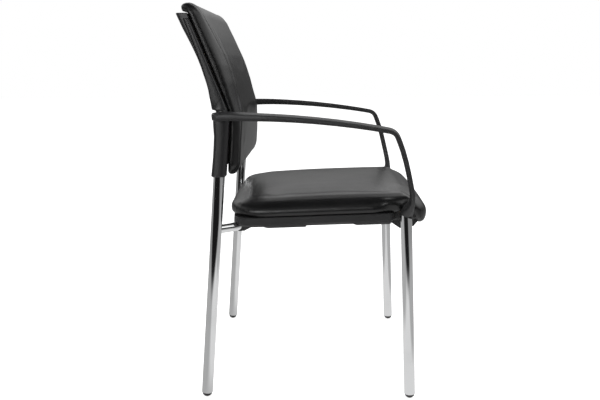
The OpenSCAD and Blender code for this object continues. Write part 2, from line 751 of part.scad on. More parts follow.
// Posts that stand on the web between the screws
module shell_posts() {
    both_sides() for (z = [mix(web_low, knee_h, 0.5), mix(knee_h, member_top, 0.5)]) {
        front = [shell_in * 0.35, back_line(z) + web_at + web_t + seat_gap, z];
        rod(front, front + [0, shell_depth(z) - web_t - 2, 0], 10);
    }
}

// Back board: bent plywood that the cushion wraps

pad_wrap = 12;

// The board's own shape, grown sideways and forwards by g and backwards by back
module board_blank(g, back) {
    d = pad_wrap + seat_gap - g;
    side = pad_w / 2 - d;
    low = pad_bottom + d;
    high = pad_top - d - 10;
    intersection() {
        across_back(pad_w) polygon(band(pad_bottom, pad_top, -back_board_t - g, back, 16));
        translate([0, far, 0]) rotate([90, 0, 0]) linear_extrude(2 * far)
            polygon(rounded([[side, low, 20, 8], [side, high, 20, 8],
                [-side, high, 20, 8], [-side, low, 20, 8]]));
    }
}

module back_board() {
    color(ply) difference() {
        board_blank(0, 0);
        back_screw_paths(back_screw_d);
    }
}

// Screws through the web into the board, each square to the back line
back_screws_at = [[pad_w * 0.34, mix(pad_bottom, knee_h, 0.42)],
    [pad_w * 0.34, mix(knee_h, member_top, 0.72)]];
back_screw_d = screw_d - 1;

module at_back_screws() {
    both_sides() for (p = back_screws_at)
        translate([p.x, back_line(p.y) + web_at + web_t, p.y]) rotate([90 - lean_at(p.y), 0, 0]) children();
}

module back_screw_paths(d) {
    at_back_screws() translate([0, 0, -1]) cylinder(h = web_t + 1 + back_board_t * 0.8, d = d);
}

module back_screw_heads() {
    at_back_screws() translate([0, 0, -back_screw_d * 0.55 - 0.6])
        cylinder(h = back_screw_d * 0.55 + 1, d = back_screw_d * 1.8 + 1);
}

module back_screws() {
    color(zinc) at_back_screws() screw(back_screw_d, web_t + back_board_t * 0.7);
}

// Back cushion: a padded panel between two upright seams, with borders that fall away to the sides

pad_half = pad_w / 2;
pad_mid = (pad_top + pad_bottom) / 2;
pad_outline = dense(rounded([[pad_half, pad_bottom, 26, 6], [pad_half, pad_top, 26, 6],
    [-pad_half, pad_top, 26, 6], [-pad_half, pad_bottom, 26, 6]]), 36);
pad_normals = inward(pad_outline);

function pad_share(z) = clamp01((z - pad_bottom) / (pad_top - pad_bottom));

// Thickness at the seams: thin at the crank, fullest two thirds of the way up
function pad_t(z) = mix(pad_t_low, pad_t_high, lookup(pad_share(z), [[0, 0.05], [0.2, 0], [0.34, -0.25],
    [0.41, -0.18], [0.48, 0.2], [0.55, 0.62], [0.67, 1], [0.8, 0.74], [0.88, 0.5], [1, 0.15]]));

// Half the width between the two upright seams, narrowest two thirds of the way up
function seam_x(z) = pad_half * lookup(pad_share(z), [[0, 0.945], [0.2, 0.935], [0.33, 0.86], [0.45, 0.79],
    [0.6, 0.76], [0.7, 0.77], [0.82, 0.83], [1, 0.9]]);

// Share of the thickness that is left outside the seams
function border(x, z) = let(u = clamp01((abs(x) - seam_x(z)) / (pad_half - seam_x(z)))) 1 - 0.38 * u * u;

// Rows of [inset, share of the thickness] at the sides, the top and the bottom
pad_side = [[9, 0], [3, 0], [0.6, 0.16], [0, 0.4], [0.5, 0.66], [2.2, 0.86], [5.5, 0.93], [7.5, 0.96],
    [13, 1.01], [26, 1.03]];
pad_head = [[20.6, 0], [17, -0.5], [5, -0.36], [0, 0.24], [3, 0.62], [9, 0.86], [14.5, 0.94], [17, 0.96],
    [23, 1.01], [36, 1.03]];
pad_foot = [[8, 0], [2, 0], [0, 0.12], [0, 0.4], [2, 0.62], [9, 0.84], [15, 0.93], [18, 0.96],
    [25, 1.01], [38, 1.03]];

function pad_ring(k) = [for (i = [0:len(pad_outline) - 1])
    let(up = smooth(-pad_normals[i].y * 1.3 - 0.25), down = smooth(pad_normals[i].y * 1.3 - 0.25),
        row = pad_side[k] * (1 - up - down) + pad_head[k] * up + pad_foot[k] * down,
        p = pad_outline[i] + row[0] * pad_normals[i])
    [p.x, back_line(p.y) - 0.7 - row[1] * pad_t(p.y) * border(p.x, p.y), p.y]];

function pad_back(s) = [for (e = pad_ring(0)) let(z = pad_mid + (e.z - pad_mid) * s)
    [e.x * s, back_line(z) - 0.7, z]];

function pad_face(s) = let(k = len(pad_side) - 1) [for (i = [0:len(pad_outline) - 1])
    let(up = smooth(-pad_normals[i].y * 1.3 - 0.25), down = smooth(pad_normals[i].y * 1.3 - 0.25),
        row = pad_side[k] * (1 - up - down) + pad_head[k] * up + pad_foot[k] * down,
        e = pad_outline[i] + row[0] * pad_normals[i], p = [e.x * s, pad_mid + (e.y - pad_mid) * s])
    [p.x, back_line(p.y) - 0.7 - 1.03 * pad_t(p.y) * border(p.x, p.y) - pad_crown * (1 - s * s), p.y]];

module back_cushion() {
    rear = [0, back_line(pad_mid) - 0.7, pad_mid];
    front = rear - [0, 1.03 * pad_t(pad_mid) + pad_crown, 0];
    color(leather) difference() {
        fan_skin(rear, concat([for (s = [0.2, 0.4, 0.6, 0.8]) pad_back(s)],
            [for (k = [0:len(pad_side) - 1]) pad_ring(k)],
            [for (s = [0.92, 0.83, 0.72, 0.5, 0.25]) pad_face(s)]), front);
        board_blank(seat_gap, 5);
    }
}

// Arms: one sweep from a round collar on the front leg to a flat end at the back

collar_r = leg_d / 2 + collar_wall;
collar_low = front_leg_top - 9;
collar_high = front_leg_top + 2;
arm_corner = [arm_x, -arm_corner_y, arm_corner_h];
arm_end_x = rear_leg(arm_rear_h).x + sleeve_half() + seat_gap + arm_w / 2;
arm_end_y = rear_leg(arm_rear_h).y + leg_d / 2 - 3;
arm_r = 3.2;         // radius of the armrest's edges
arm_end_cut = 8.5;   // bevel on the outer side of the arm's rear end

// How far the upright bows out and forward of a straight line, by the share of its height
upright_bow = [[0, [0, 0]], [0.066, [7, 6.6]], [0.126, [14, 12]], [0.192, [19.5, 16.2]], [0.3, [24, 17.2]],
    [0.45, [23, 15.6]], [0.63, [16, 13.4]], [0.8, [8, 9.4]], [0.92, [2.5, 4.5]], [1, [0, 0]]];

function bow(f, i) = lookup(f, [for (row = upright_bow) [row[0], row[1][i]]]);
function upright(f) = mix(front_leg(collar_high), arm_corner, f) + [bow(f, 0), -bow(f, 1), 0];
function armrest(g) = [mix(arm_x - 4 * smooth(g / 0.3), arm_end_x, smooth((g - 0.76) / 0.22)),
    mix(-arm_corner_y, arm_end_y, g), mix(arm_corner_h, arm_rear_h, g) + 10.4 * pow(sin(180 * g), 0.75)];

corner_from = upright(0.935);
corner_to = armrest(0.035);
arm_path = concat([for (z = [collar_low - 2, collar_low + 4, collar_high]) front_leg(z)],
    [for (f = [0.045, 0.09, 0.14, 0.2, 0.29, 0.4, 0.52, 0.65, 0.78, 0.88]) upright(f)],
    [for (k = [0:6]) let(t = k / 6) corner_from * pow(1 - t, 2) + arm_corner * 2 * t * (1 - t)
        + corner_to * t * t],
    [for (g = [0.08, 0.14, 0.22, 0.33, 0.45, 0.57, 0.68, 0.77, 0.83, 0.88, 0.93, 0.975, 1]) armrest(g)],
    [armrest(1) + [-arm_end_cut / 2, arm_end_cut, 0.4]]);
arm_rings = len(arm_path);

// Share of each ring that is still the round collar
function collarness(k) = lookup(k, [[0, 1], [2, 1], [3, 0.86], [4, 0.55], [5, 0.18], [6, 0]]);
function arm_t(k) = mix(arm_t_front, arm_t_rear, smooth((k - 19) / (arm_rings - 21)));

function arm_ring(k) = let(
    last = arm_rings - 2, p = arm_path[k],
    a = arm_path[max(0, min(k, last) - 1)], b = arm_path[min(last, k + 1)],
    t = unit(b - a), w = unit([1, 0, 0] - t * t.x), up = cross(w, t), c = collarness(k),
    end = k > last ? 1 : 0, hw = mix(arm_w / 2, collar_r, c) - end * arm_end_cut / 2,
    ht = mix(arm_t(k) / 2, collar_r, c) - end * 1.6, fall = arm_fall * (1 - c))
    [for (q = rounded_ring(hw, ht, mix(arm_r, collar_r, c)))
        let(drop = q.y > 0 ? fall * q.y / ht * (q.x / hw + 1) / 2 : 0)
        p + w * q.x + up * (q.y - drop)];

module arm() {
    difference() {
        union() {
            difference() {
                skin([for (k = [0:arm_rings - 1]) arm_ring(arm_rings - 1 - k)]);
                rod(front_leg(collar_low - 20), front_leg(front_leg_top + 0.3), leg_d + 2 * fit);
                collar_trim();
            }
            rod(front_leg(front_leg_top - 46), front_leg(front_leg_top + 1), inner_d - 2 * fit);
            arm_boss();
        }
        arm_front_screw_path(screw_d - 0.8);
        arm_rear_screw_path(screw_d - 0.8);
    }
}

// The collar's lower edge rises towards the back
module collar_trim() {
    translate(front_leg(collar_low) + [0, -collar_r, 0]) rotate([21, 0, 0])
        translate([-far / 2, -far / 2, -far]) cube([far, far, far]);
}

// Boss on the arm's inner face that plugs into the side member
boss_d = 13;
boss_l = 6;
arm_joint = [arm_end_x, rear_leg(arm_rear_h).y, arm_rear_h];

module arm_boss() {
    translate(arm_joint) rotate([0, -90, 0]) cylinder(h = arm_w / 2 + boss_l, d = boss_d);
}

arm_screw_seat = member_out - member_w + 7;
arm_screw_head = screw_d * 1.8 + 0.8;

module arm_rear_screw_path(d) {
    translate([arm_screw_seat - far / 4, arm_joint.y, arm_joint.z]) rotate([0, 90, 0])
        cylinder(h = far / 4, d = arm_screw_head);
    translate([arm_screw_seat - 1, arm_joint.y, arm_joint.z]) rotate([0, 90, 0])
        cylinder(h = arm_joint.x + arm_w / 2 - 6 - arm_screw_seat, d = d);
}

module arm_boss_path() {
    translate(arm_joint) rotate([0, -90, 0]) cylinder(h = arm_w / 2 + boss_l + fit, d = boss_d + 2 * fit);
}

module arm_rear_screws() {
    l = arm_joint.x + arm_w / 2 - 7.2 - arm_screw_seat;
    color(zinc) both_sides() translate([arm_screw_seat, arm_joint.y, arm_joint.z]) rotate([0, 90, 0])
        screw(screw_d - 1, l);
}

module arm_front_screw_path(d) {
    p = front_leg(front_screw_h);
    translate(p + [inner_d / 2 - 4, 0, 0]) rotate([0, -90, 0]) cylinder(h = far / 8, d = d);
}

module arm_front_screws() {
    p = front_leg(front_screw_h);
    l = leg_d / 2 + inner_d / 2 - 6;
    color(zinc) both_sides() translate(p - [leg_d / 2 + seat_gap, 0, 0]) rotate([0, 90, 0])
        screw(screw_d - 1, l);
}

// Named pieces, the left one of each pair first

color(chrome) front_leg_part();  // front_leg_left
color(chrome) mirror([1, 0, 0]) front_leg_part();  // front_leg_right
color(chrome) rear_leg_part();  // rear_leg_left
color(chrome) mirror([1, 0, 0]) rear_leg_part();  // rear_leg_right
color(black) glide(front_leg(0), front_leg(9));  // glide_front_left
color(black) mirror([1, 0, 0]) glide(front_leg(0), front_leg(9));  // glide_front_right
color(black) glide(rear_leg(0), rear_leg(9));  // glide_rear_left
color(black) mirror([1, 0, 0]) glide(rear_leg(0), rear_leg(9));  // glide_rear_right
front_cross_tube();
rear_cross_tube();
side_rail();  // side_rail_left
mirror([1, 0, 0]) side_rail();  // side_rail_right
front_bracket();  // front_bracket_left
mirror([1, 0, 0]) front_bracket();  // front_bracket_right
rear_bracket();  // rear_bracket_left
mirror([1, 0, 0]) rear_bracket();  // rear_bracket_right
seat_pan();
seat_board();
seat_cushion();
seat_screws();
stack_pad(-stack_front_y, stack_front_l);  // stack_pad_front_left
mirror([1, 0, 0]) stack_pad(-stack_front_y, stack_front_l);  // stack_pad_front_right
stack_pad(stack_rear_y, stack_rear_l);  // stack_pad_rear_left
mirror([1, 0, 0]) stack_pad(stack_rear_y, stack_rear_l);  // stack_pad_rear_right
stack_pad_screws();
back_frame();
back_shell();
back_board();
back_cushion();
back_screws();
color(black) arm();  // arm_left
color(black) mirror([1, 0, 0]) arm();  // arm_right
arm_front_screws();
arm_rear_screws();
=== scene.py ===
"""Visitor chair with arms: chrome legs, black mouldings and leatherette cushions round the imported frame."""

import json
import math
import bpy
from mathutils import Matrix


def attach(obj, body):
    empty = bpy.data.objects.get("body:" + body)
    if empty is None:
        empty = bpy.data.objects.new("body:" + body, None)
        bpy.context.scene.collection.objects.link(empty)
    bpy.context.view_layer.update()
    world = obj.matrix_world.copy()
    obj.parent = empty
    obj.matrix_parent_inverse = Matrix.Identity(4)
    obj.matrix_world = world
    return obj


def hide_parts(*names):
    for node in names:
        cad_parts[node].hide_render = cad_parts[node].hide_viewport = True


bl_info = {
    "name": "Visitor chair",
    "version": (1, 0, 0),
    "blender": (4, 5, 0),
    "location": "View3D > Sidebar > Chair",
    "description": "Dresses the visitor chair's frame with cushions, mouldings, finishes and a studio",
    "category": "Add Mesh",
}

import bpy
from bpy.props import FloatProperty, FloatVectorProperty, IntProperty, PointerProperty
from mathutils import Matrix, Vector
from mathutils.bvhtree import BVHTree

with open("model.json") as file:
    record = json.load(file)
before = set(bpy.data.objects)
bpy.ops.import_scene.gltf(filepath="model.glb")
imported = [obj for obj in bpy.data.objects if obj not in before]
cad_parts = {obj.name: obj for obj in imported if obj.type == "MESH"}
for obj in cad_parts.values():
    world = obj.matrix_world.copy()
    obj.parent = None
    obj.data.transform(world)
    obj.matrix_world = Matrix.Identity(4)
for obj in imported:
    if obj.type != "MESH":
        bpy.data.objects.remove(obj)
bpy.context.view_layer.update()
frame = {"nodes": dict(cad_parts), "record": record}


# Sizes and colours that a user would change


def colour(name, text, value):
    return FloatVectorProperty(
        name=name, description=text, default=value, subtype="COLOR", size=3, min=0, max=1)


def length(name, text, value):
    return FloatProperty(name=name, description=text, default=value, min=0, unit="LENGTH")


def strength(name, text, value):
    return FloatProperty(name=name, description=text, default=value, min=0)


def power(name, text, value):
    return FloatProperty(name=name, description=text, default=value, min=0, unit="POWER")


class ChairCushions(bpy.types.PropertyGroup):
    """How the two cushions are filled and sewn"""

    seat_voxel: length(
        "Seat mesh size", "Size of the seat cushion's faces before the last subdivision", 0.005)
    back_voxel: length(
        "Back mesh size", "Size of the back cushion's faces before the last subdivision", 0.0045)
    drawn_in: length("Drawn in", "How much smaller a cushion starts than its form", 0.004)
    cap: length("Swell cap", "Longest way that a point of a cushion may swell", 0.022)
    pressure: strength("Pressure", "Air pressure that fills a cushion", 4.0)
    frames: IntProperty(name="Frames", description="Frames that the filling takes", default=20, min=1)
    fullness: length("Fullness", "How far a filled cushion may stand out of its form", 0.0012)
    fold_height: length("Fold height", "Height of the fold at each front collar", 0.0042)
    fold_width: length("Fold width", "Half width of that fold", 0.0085)
    seam_depth: length("Seam depth", "Depth of a sewn seam's valley", 0.0018)
    seam_width: length("Seam width", "Half width of a sewn seam's valley", 0.0042)


class ChairMouldings(bpy.types.PropertyGroup):
    """Edges of the moulded seat pan"""

    edge: length("Edge radius", "Radius on the seat pan's edges", 0.0007)


class ChairFinishes(bpy.types.PropertyGroup):
    """Colours of the finishes"""

    leather: colour("Leatherette", "Colour of the cushions", (0.008, 0.008, 0.0083))
    plastic: colour("Moulded plastic", "Colour of the arms and the back", (0.024, 0.024, 0.025))
    chrome: colour("Chrome", "Tint of the plated tubes", (0.80, 0.805, 0.81))
    ply_light: colour("Plywood, light", "Light colour of the plywood", (0.62, 0.45, 0.27))
    ply_dark: colour("Plywood, dark", "Dark colour of the plywood's grain", (0.42, 0.28, 0.15))
    zinc: colour("Zinc", "Colour of the screws", (0.60, 0.60, 0.58))


class ChairStudio(bpy.types.PropertyGroup):
    """Light round the chair"""

    air: strength("Air light", "Strength of the light from all round", 0.55)
    band: strength("Far band", "Brightness of the far side in reflections", 1.1)
    horizon: strength("Horizon", "Brightness of the horizon in reflections", 0.1)
    box: strength("Near box", "Brightness over the camera in reflections", 0.25)
    card: strength("Low card", "Brightness of the card behind the camera", 4.5)
    front: strength("Front box", "Brightness over the chair's front", 1.2)
    top: power("Top light", "Power of the lamp overhead", 38.0)
    side: power("Side light", "Power of each side lamp", 16.0)


# Small helpers for modelling

MERGED = 0.00002  # points of a CAD mesh that lie closer together than this, in metres, become one


def only(piece):
    """Selects this piece alone"""
    bpy.ops.object.select_all(action="DESELECT")
    piece.select_set(True)
    bpy.context.view_layer.objects.active = piece


def finish(piece, kind, **settings):
    """Adds a modifier and applies it at once"""
    only(piece)
    modifier = piece.modifiers.new(kind.lower(), kind)
    for name, value in settings.items():
        setattr(modifier, name, value)
    bpy.ops.object.modifier_apply(modifier=modifier.name)


def traced(node, name):
    """A merged copy of a CAD solid's mesh, as the start of a finished piece"""
    piece = bpy.data.objects.new(name, frame["nodes"][node].data.copy())
    bpy.context.scene.collection.objects.link(piece)
    piece.data.materials.clear()
    only(piece)
    bpy.ops.mesh.customdata_custom_splitnormals_clear()
    bpy.ops.object.mode_set(mode="EDIT")
    bpy.ops.mesh.select_all(action="SELECT")
    bpy.ops.mesh.remove_doubles(threshold=MERGED)
    bpy.ops.object.mode_set(mode="OBJECT")
    return piece


def placed(piece, node):
    """Puts a finished piece in the place of a CAD node"""
    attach(piece, "root")
    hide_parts(node)


def smoothed(piece, degrees):
    """Shades a piece smooth across edges that bend less than an angle"""
    only(piece)
    bpy.ops.object.shade_smooth_by_angle(angle=math.radians(degrees))


def step_between(value, low, high):
    """0 up to the low value, 1 from the high one, and an even curve between them"""
    t = min(1.0, max(0.0, (value - low) / (high - low)))
    return t * t * (3 - 2 * t)


# Shader nodes


class Val:
    """A socket that takes part in sums, each of which adds its Math node"""

    def __init__(self, look, socket):
        self.look = look
        self.socket = socket

    def sum(self, operation, *others):
        return self.look.add("ShaderNodeMath", {"operation": operation}, dict(enumerate(others)))

    def __add__(self, other):
        return self.sum("ADD", self, other)

    def __radd__(self, other):
        return self.sum("ADD", other, self)

    def __sub__(self, other):
        return self.sum("SUBTRACT", self, other)

    def __rsub__(self, other):
        return self.sum("SUBTRACT", other, self)

    def __mul__(self, other):
        return self.sum("MULTIPLY", self, other)

    def __pow__(self, other):
        return self.sum("POWER", self, other)


class Look:
    """A node tree under construction"""

    def __init__(self, tree):
        self.tree = tree
        tree.nodes.clear()

    def add(self, kind, settings=None, inputs=None, output=0):
        """Adds a node: settings first, then the values or links of its sockets"""
        node = self.tree.nodes.new(kind)
        for name, value in (settings or {}).items():
            setattr(node, name, value)
        for name, value in (inputs or {}).items():
            if isinstance(value, Val):
                self.tree.links.new(value.socket, node.inputs[name])
            else:
                node.inputs[name].default_value = value
        return Val(self, node.outputs[output]) if len(node.outputs) else None

    def place(self, scale=(1, 1, 1)):
        """Object coordinates in metres, stretched"""
        where = self.add("ShaderNodeTexCoord", output="Object")
        return self.add("ShaderNodeMapping", None, {"Vector": where, "Scale": scale})

    def parts(self, where):
        """The X, Y and Z of a place or a direction"""
        node = self.add("ShaderNodeSeparateXYZ", None, {"Vector": where}).socket.node
        return [Val(self, socket) for socket in node.outputs]

    def noise(self, where, scale, detail=2.0, roughness=0.5, distortion=0.0):
        return self.add("ShaderNodeTexNoise", None, {
            "Vector": where, "Scale": scale, "Detail": detail, "Roughness": roughness,
            "Distortion": distortion})

    def size(self, value):
        """A value without its sign"""
        return self.add("ShaderNodeMath", {"operation": "ABSOLUTE"}, {0: value})

    def wave(self, value, pitch):
        """Rises from -1 to 1 over each pitch"""
        part = self.add("ShaderNodeMath", {"operation": "FRACT"}, {0: value * (1 / pitch)})
        return part * 2 - 1

    def ramp(self, value, low, high, first=0.0, last=1.0):
        """Goes from the first number to the last one while a value goes from low to high"""
        return self.add(
            "ShaderNodeMapRange", {"interpolation_type": "SMOOTHSTEP"},
            {"Value": value, "From Min": low, "From Max": high, "To Min": first, "To Max": last})

    def mixed(self, share, first, second):
        """A colour between two others"""
        return self.add("ShaderNodeMix", {"data_type": "RGBA"}, {0: share, 6: first, 7: second}, output=2)

    def bump(self, height, distance, strength=1.0, below=None):
        """Relief of a depth in metres, on top of the relief below it"""
        inputs = {"Height": height, "Distance": distance, "Strength": strength}
        if below:
            inputs["Normal"] = below
        return self.add("ShaderNodeBump", None, inputs)

    def surface(self, inputs):
        shader = self.add("ShaderNodeBsdfPrincipled", None, inputs)
        self.add("ShaderNodeOutputMaterial", None, {"Surface": shader})


def new_look(name):
    material = bpy.data.materials.new(name)
    material.use_nodes = True
    return material, Look(material.node_tree)


def rgba(tone, share=1.0):
    return (tone[0] * share, tone[1] * share, tone[2] * share, 1.0)


# Finishes

SEAM_CREVICE_AND_SHADE = (0.0015, 0.0004)     # metres off a seam over which its crevice comes in, sunk in relief and darkened with painted shade
STITCHES_OFF = 0.0035             # distance of the stitches from the seam, in metres
STITCH_THREAD = (0.0007, 0.0003)  # metres off a row of stitches over which the thread comes in
STITCH_PITCH = 0.0042
STITCH_LENGTH = (0.75, 0.45)      # share of half a pitch over which a stitch comes in


def leatherette(finishes, name="leatherette", sewn=False):
    """Black leatherette: pebbled grain, faint creases, and on the back a pressed seam with its stitches, its
    crevice darkened with painted shade
    """
    material, look = new_look(name)
    where = look.place()
    cells = look.add(
        "ShaderNodeTexVoronoi", {"feature": "DISTANCE_TO_EDGE"},
        {"Vector": where, "Scale": 720.0, "Randomness": 0.9})
    pores = look.noise(where, scale=1500.0)
    creases = look.noise(
        look.place(scale=(1.0, 2.6, 2.0)), scale=16.0, detail=3.0, roughness=0.55, distortion=0.6)
    patches = look.noise(where, scale=9.0)
    pebbles = look.ramp(cells, 0.0, 0.35) * 0.7 + pores * 0.3
    bumps = look.bump(pebbles, distance=0.00009, strength=0.5)
    bumps = look.bump(creases, distance=0.0008, strength=0.3, below=bumps)
    shade = look.ramp(patches, 0.3, 0.7)
    tone = look.mixed(shade, rgba(finishes.leather, 0.9), rgba(finishes.leather, 1.12))
    rough = 0.26 + shade * 0.04 + pores * 0.04
    if sewn:
        off = look.add("ShaderNodeAttribute", {"attribute_name": "off_seam"}, output="Fac")
        along = look.add("ShaderNodeAttribute", {"attribute_name": "along_seam"}, output="Fac")
        # the seam's crevice: a sunk relief, rougher leather, and painted shade in its colour
        crevice_and_shade = look.ramp(look.size(off), *SEAM_CREVICE_AND_SHADE)
        row = look.ramp(look.size(look.size(off) - STITCHES_OFF), *STITCH_THREAD)
        thread = row * look.ramp(look.size(look.wave(along, STITCH_PITCH)), *STITCH_LENGTH)
        bumps = look.bump(thread * 0.5 - crevice_and_shade, distance=0.0009, strength=0.8, below=bumps)
        # painted shade: the leather is darkened along the seam's crevice, where shade falls
        tone = look.mixed(crevice_and_shade, tone, rgba(finishes.leather, 0.3))
        rough = rough + crevice_and_shade * 0.3
    look.surface({"Base Color": tone, "Roughness": rough, "Normal": bumps, "IOR": 1.5})
    return material


def sewn_leatherette(finishes):
    return leatherette(finishes, "leatherette_sewn", sewn=True)


def moulded(finishes, name, share, roughness, grain, depth):
    """Moulded plastic with an even spark-eroded grain"""
    tone = rgba(finishes.plastic, share)
    material, look = new_look(name)
    pits = look.noise(look.place(), scale=grain, detail=3.0, roughness=0.6)
    flow = look.noise(look.place(scale=(1, 1, 0.4)), scale=14.0)
    shade = look.ramp(flow, 0.3, 0.7)
    look.surface({
        "Base Color": look.mixed(shade, rgba(tone, 0.92), rgba(tone, 1.08)),
        "Roughness": roughness - 0.03 + shade * 0.05 + pits * 0.04,
        "Normal": look.bump(pits, depth, strength=0.5), "IOR": 1.48})
    return material


def chrome_plate(finishes):
    """Polished chrome with faint rub marks along the tubes"""
    material, look = new_look("chrome_plate")
    rubs = look.noise(look.place(scale=(1, 1, 0.05)), scale=260.0)
    smears = look.noise(look.place(), scale=14.0)
    haze = look.ramp(smears, 0.45, 0.8)
    look.surface({
        "Base Color": look.mixed(haze, rgba(finishes.chrome), rgba(finishes.chrome, 0.95)),
        "Metallic": 1.0,
        "Roughness": 0.05 + rubs * 0.03 + haze * 0.04})
    return material


def powder_coat(finishes):
    """Black powder coat with a fine orange peel"""
    material, look = new_look("powder_coat")
    peel = look.noise(look.place(), scale=620.0)
    look.surface({
        "Base Color": look.mixed(peel, rgba(finishes.plastic, 0.85), rgba(finishes.plastic, 1.1)),
        "Roughness": 0.34 + peel * 0.08,
        "Normal": look.bump(peel, distance=0.00008, strength=0.4)})
    return material


# Heights in metres over which the back board's stain comes in at its head, and comes in and ends at its foot
STAIN_HEAD = (0.838, 0.845)
STAIN_FOOT, STAIN_FOOT_END = (0.47, 0.48), (0.56, 0.55)


def plywood(finishes):
    """Rotary-cut plywood: long grain with darker streaks, stained black at the back's head and foot"""
    material, look = new_look("plywood")
    streaks = look.place(scale=(1.0, 9.0, 9.0))
    grain = look.noise(streaks, scale=14.0, detail=4.0, roughness=0.6, distortion=0.8)
    fibres = look.noise(look.place(scale=(0.6, 24.0, 24.0)), scale=60.0, detail=3.0)
    share = look.ramp(grain, 0.3, 0.75)
    raw = look.mixed(share, rgba(finishes.ply_light), rgba(finishes.ply_dark))
    height = look.parts(look.place())[2]
    foot = look.ramp(height, *STAIN_FOOT) * look.ramp(height, *STAIN_FOOT_END)
    look.surface({
        "Base Color": look.mixed(look.ramp(height, *STAIN_HEAD) + foot, raw, rgba(finishes.plastic, 0.9)),
        "Roughness": 0.6 + fibres * 0.15,
        "Normal": look.bump(fibres, distance=0.00015, strength=0.5)})
    return material


def zinc_plate(finishes):
    """Bright zinc with a slight bloom"""
    material, look = new_look("zinc_plate")
    bloom = look.noise(look.place(), scale=220.0, detail=3.0)
    look.surface({
        "Base Color": look.mixed(bloom, rgba(finishes.zinc, 0.85), rgba(finishes.zinc, 1.08)),
        "Metallic": 1.0, "Roughness": 0.3 + bloom * 0.2})
    return material


MAKERS = {
    "chrome_tube": chrome_plate,
    "painted_steel": powder_coat,
    "leather": leatherette,
    "leather_sewn": sewn_leatherette,
    "plywood": plywood,
    "zinc": zinc_plate,
}

# Mouldings by slot: name, share of the plastic's colour, roughness, scale of the grain, its depth in metres
MOULDED = {
    "arm_plastic": ("arm_moulding", 1.0, 0.46, 1700.0, 0.00006),
    "back_plastic": ("back_moulding", 1.0, 0.3, 1500.0, 0.00005),
    "pan_plastic": ("pan_moulding", 0.9, 0.52, 1400.0, 0.00007),
    "pad_rubber": ("soft_pad", 1.6, 0.62, 900.0, 0.0001),
    "glide_plastic": ("glide_moulding", 0.8, 0.3, 1200.0, 0.00003),
}

made = {}


def finish_for(slot):
    """The material of a slot, made once"""
    if slot not in made:
        finishes = bpy.context.scene.chair_finishes
        made[slot] = moulded(finishes, *MOULDED[slot]) if slot in MOULDED else MAKERS[slot](finishes)
    return made[slot]


def dress(piece, slot):
    """Gives a piece one finish all over"""
    piece.data.materials.clear()
    piece.data.materials.append(finish_for(slot))


# Cushions. Distances are in metres

HELD_TO, FREE_FROM = 0.003, 0.006  # a cover is held where a carrier lies this near, and free past the second
FIRM = 0.98                        # share from which on a point is held for good
SKIN_REACH = 0.006                 # how far a ray looks for the form's skin
EVEN_SWELL = 0.0015                # swell over the middle one that brings a cover most of the way out
CARRIER_REACH = 0.003              # depth in a carrier down to which a cover is brought back out
CARRIER_GAP = 0.00005              # room that is then left between them

CLOTH = {
    "quality": 5, "mass": 0.3, "tension_stiffness": 12, "compression_stiffness": 8, "shear_stiffness": 4,
    "bending_stiffness": 0.6, "use_pressure": True, "vertex_group_mass": "held",
}


def surface_of(*pieces):
    """A fast look-up of the nearest point on some pieces, and of where a ray meets them"""
    points, faces = [], []
    for piece in pieces:
        first = len(points)
        points += [v.co.copy() for v in piece.data.vertices]
        faces += [[first + i for i in p.vertices] for p in piece.data.polygons]
    return BVHTree.FromPolygons(points, faces)


def depth_in(surface, point, out):
    """How deep a point lies inside a closed surface along its own normal, and 0 outside it"""
    hit, normal, _, away = surface.ray_cast(point, out, SKIN_REACH)
    return away if hit and normal.dot(out) > 0 else 0.0


def neighbours_of(mesh):
    """The points that share an edge with each point"""
    near = [[] for _ in mesh.vertices]
    for edge in mesh.edges:
        a, b = edge.vertices
        near[a].append(b)
        near[b].append(a)
    return near


def evened(values, near, rounds, fixed):
    """Evens out one number for each point over its neighbours, apart from the fixed points"""
    for _ in range(rounds):
        values = [
            old if stays else 0.5 * old + 0.5 * sum(values[j] for j in around) / len(around)
            for old, around, stays in zip(values, near, fixed)]
    return values


def firmly(held):
    """Which points are held for good"""
    return [share > FIRM for share in held]


def filled_out(mesh, surface, near, held):
    """Moves a mesh softly outwards where it lies inside the form, and exactly onto it where it is held"""
    for _ in range(3):
        mesh.update()
        normals = [v.normal.copy() for v in mesh.vertices]
        short = [
            depth_in(surface, v.co, normal) * (1 - share)
            for v, normal, share in zip(mesh.vertices, normals, held)]
        for _ in range(2):
            short = [max(own, max(short[j] for j in around)) for own, around in zip(short, near)]
        short = evened(short, near, rounds=6, fixed=firmly(held))
        for v, normal, out, share in zip(mesh.vertices, normals, short, held):
            v.co += normal * out * (1 - share)
    for v, share in zip(mesh.vertices, held):
        if share > 0.5:
            v.co = surface.find_nearest(v.co)[0]
    mesh.update()


def fill_cushion(piece, cushions, held):
    """Blows a drawn-in cushion up by cloth pressure; held says how firmly each point stays, from 0 to 1"""
    scene = bpy.context.scene
    start = [v.co.copy() for v in piece.data.vertices]
    group = piece.vertex_groups.new(name="held")
    for v, share in zip(piece.data.vertices, held):
        group.add([v.index], share, "REPLACE")
    cloth = piece.modifiers.new("filling", "CLOTH")
    for name, value in CLOTH.items():
        setattr(cloth.settings, name, value)
    cloth.settings.uniform_pressure_force = cushions.pressure
    cloth.settings.effector_weights.gravity = 0
    cloth.collision_settings.use_self_collision = False
    cloth.point_cache.frame_start = 1
    cloth.point_cache.frame_end = cushions.frames
    scene.frame_start = 1
    scene.frame_end = cushions.frames
    for step in range(1, cushions.frames + 1):
        scene.frame_set(step)
    only(piece)
    bpy.ops.object.modifier_apply(modifier=cloth.name)
    for v, first in zip(piece.data.vertices, start):
        swell = v.co - first
        if swell.length > cushions.cap:
            v.co = first + swell * (cushions.cap / swell.length)
    scene.frame_set(1)
    piece.vertex_groups.clear()


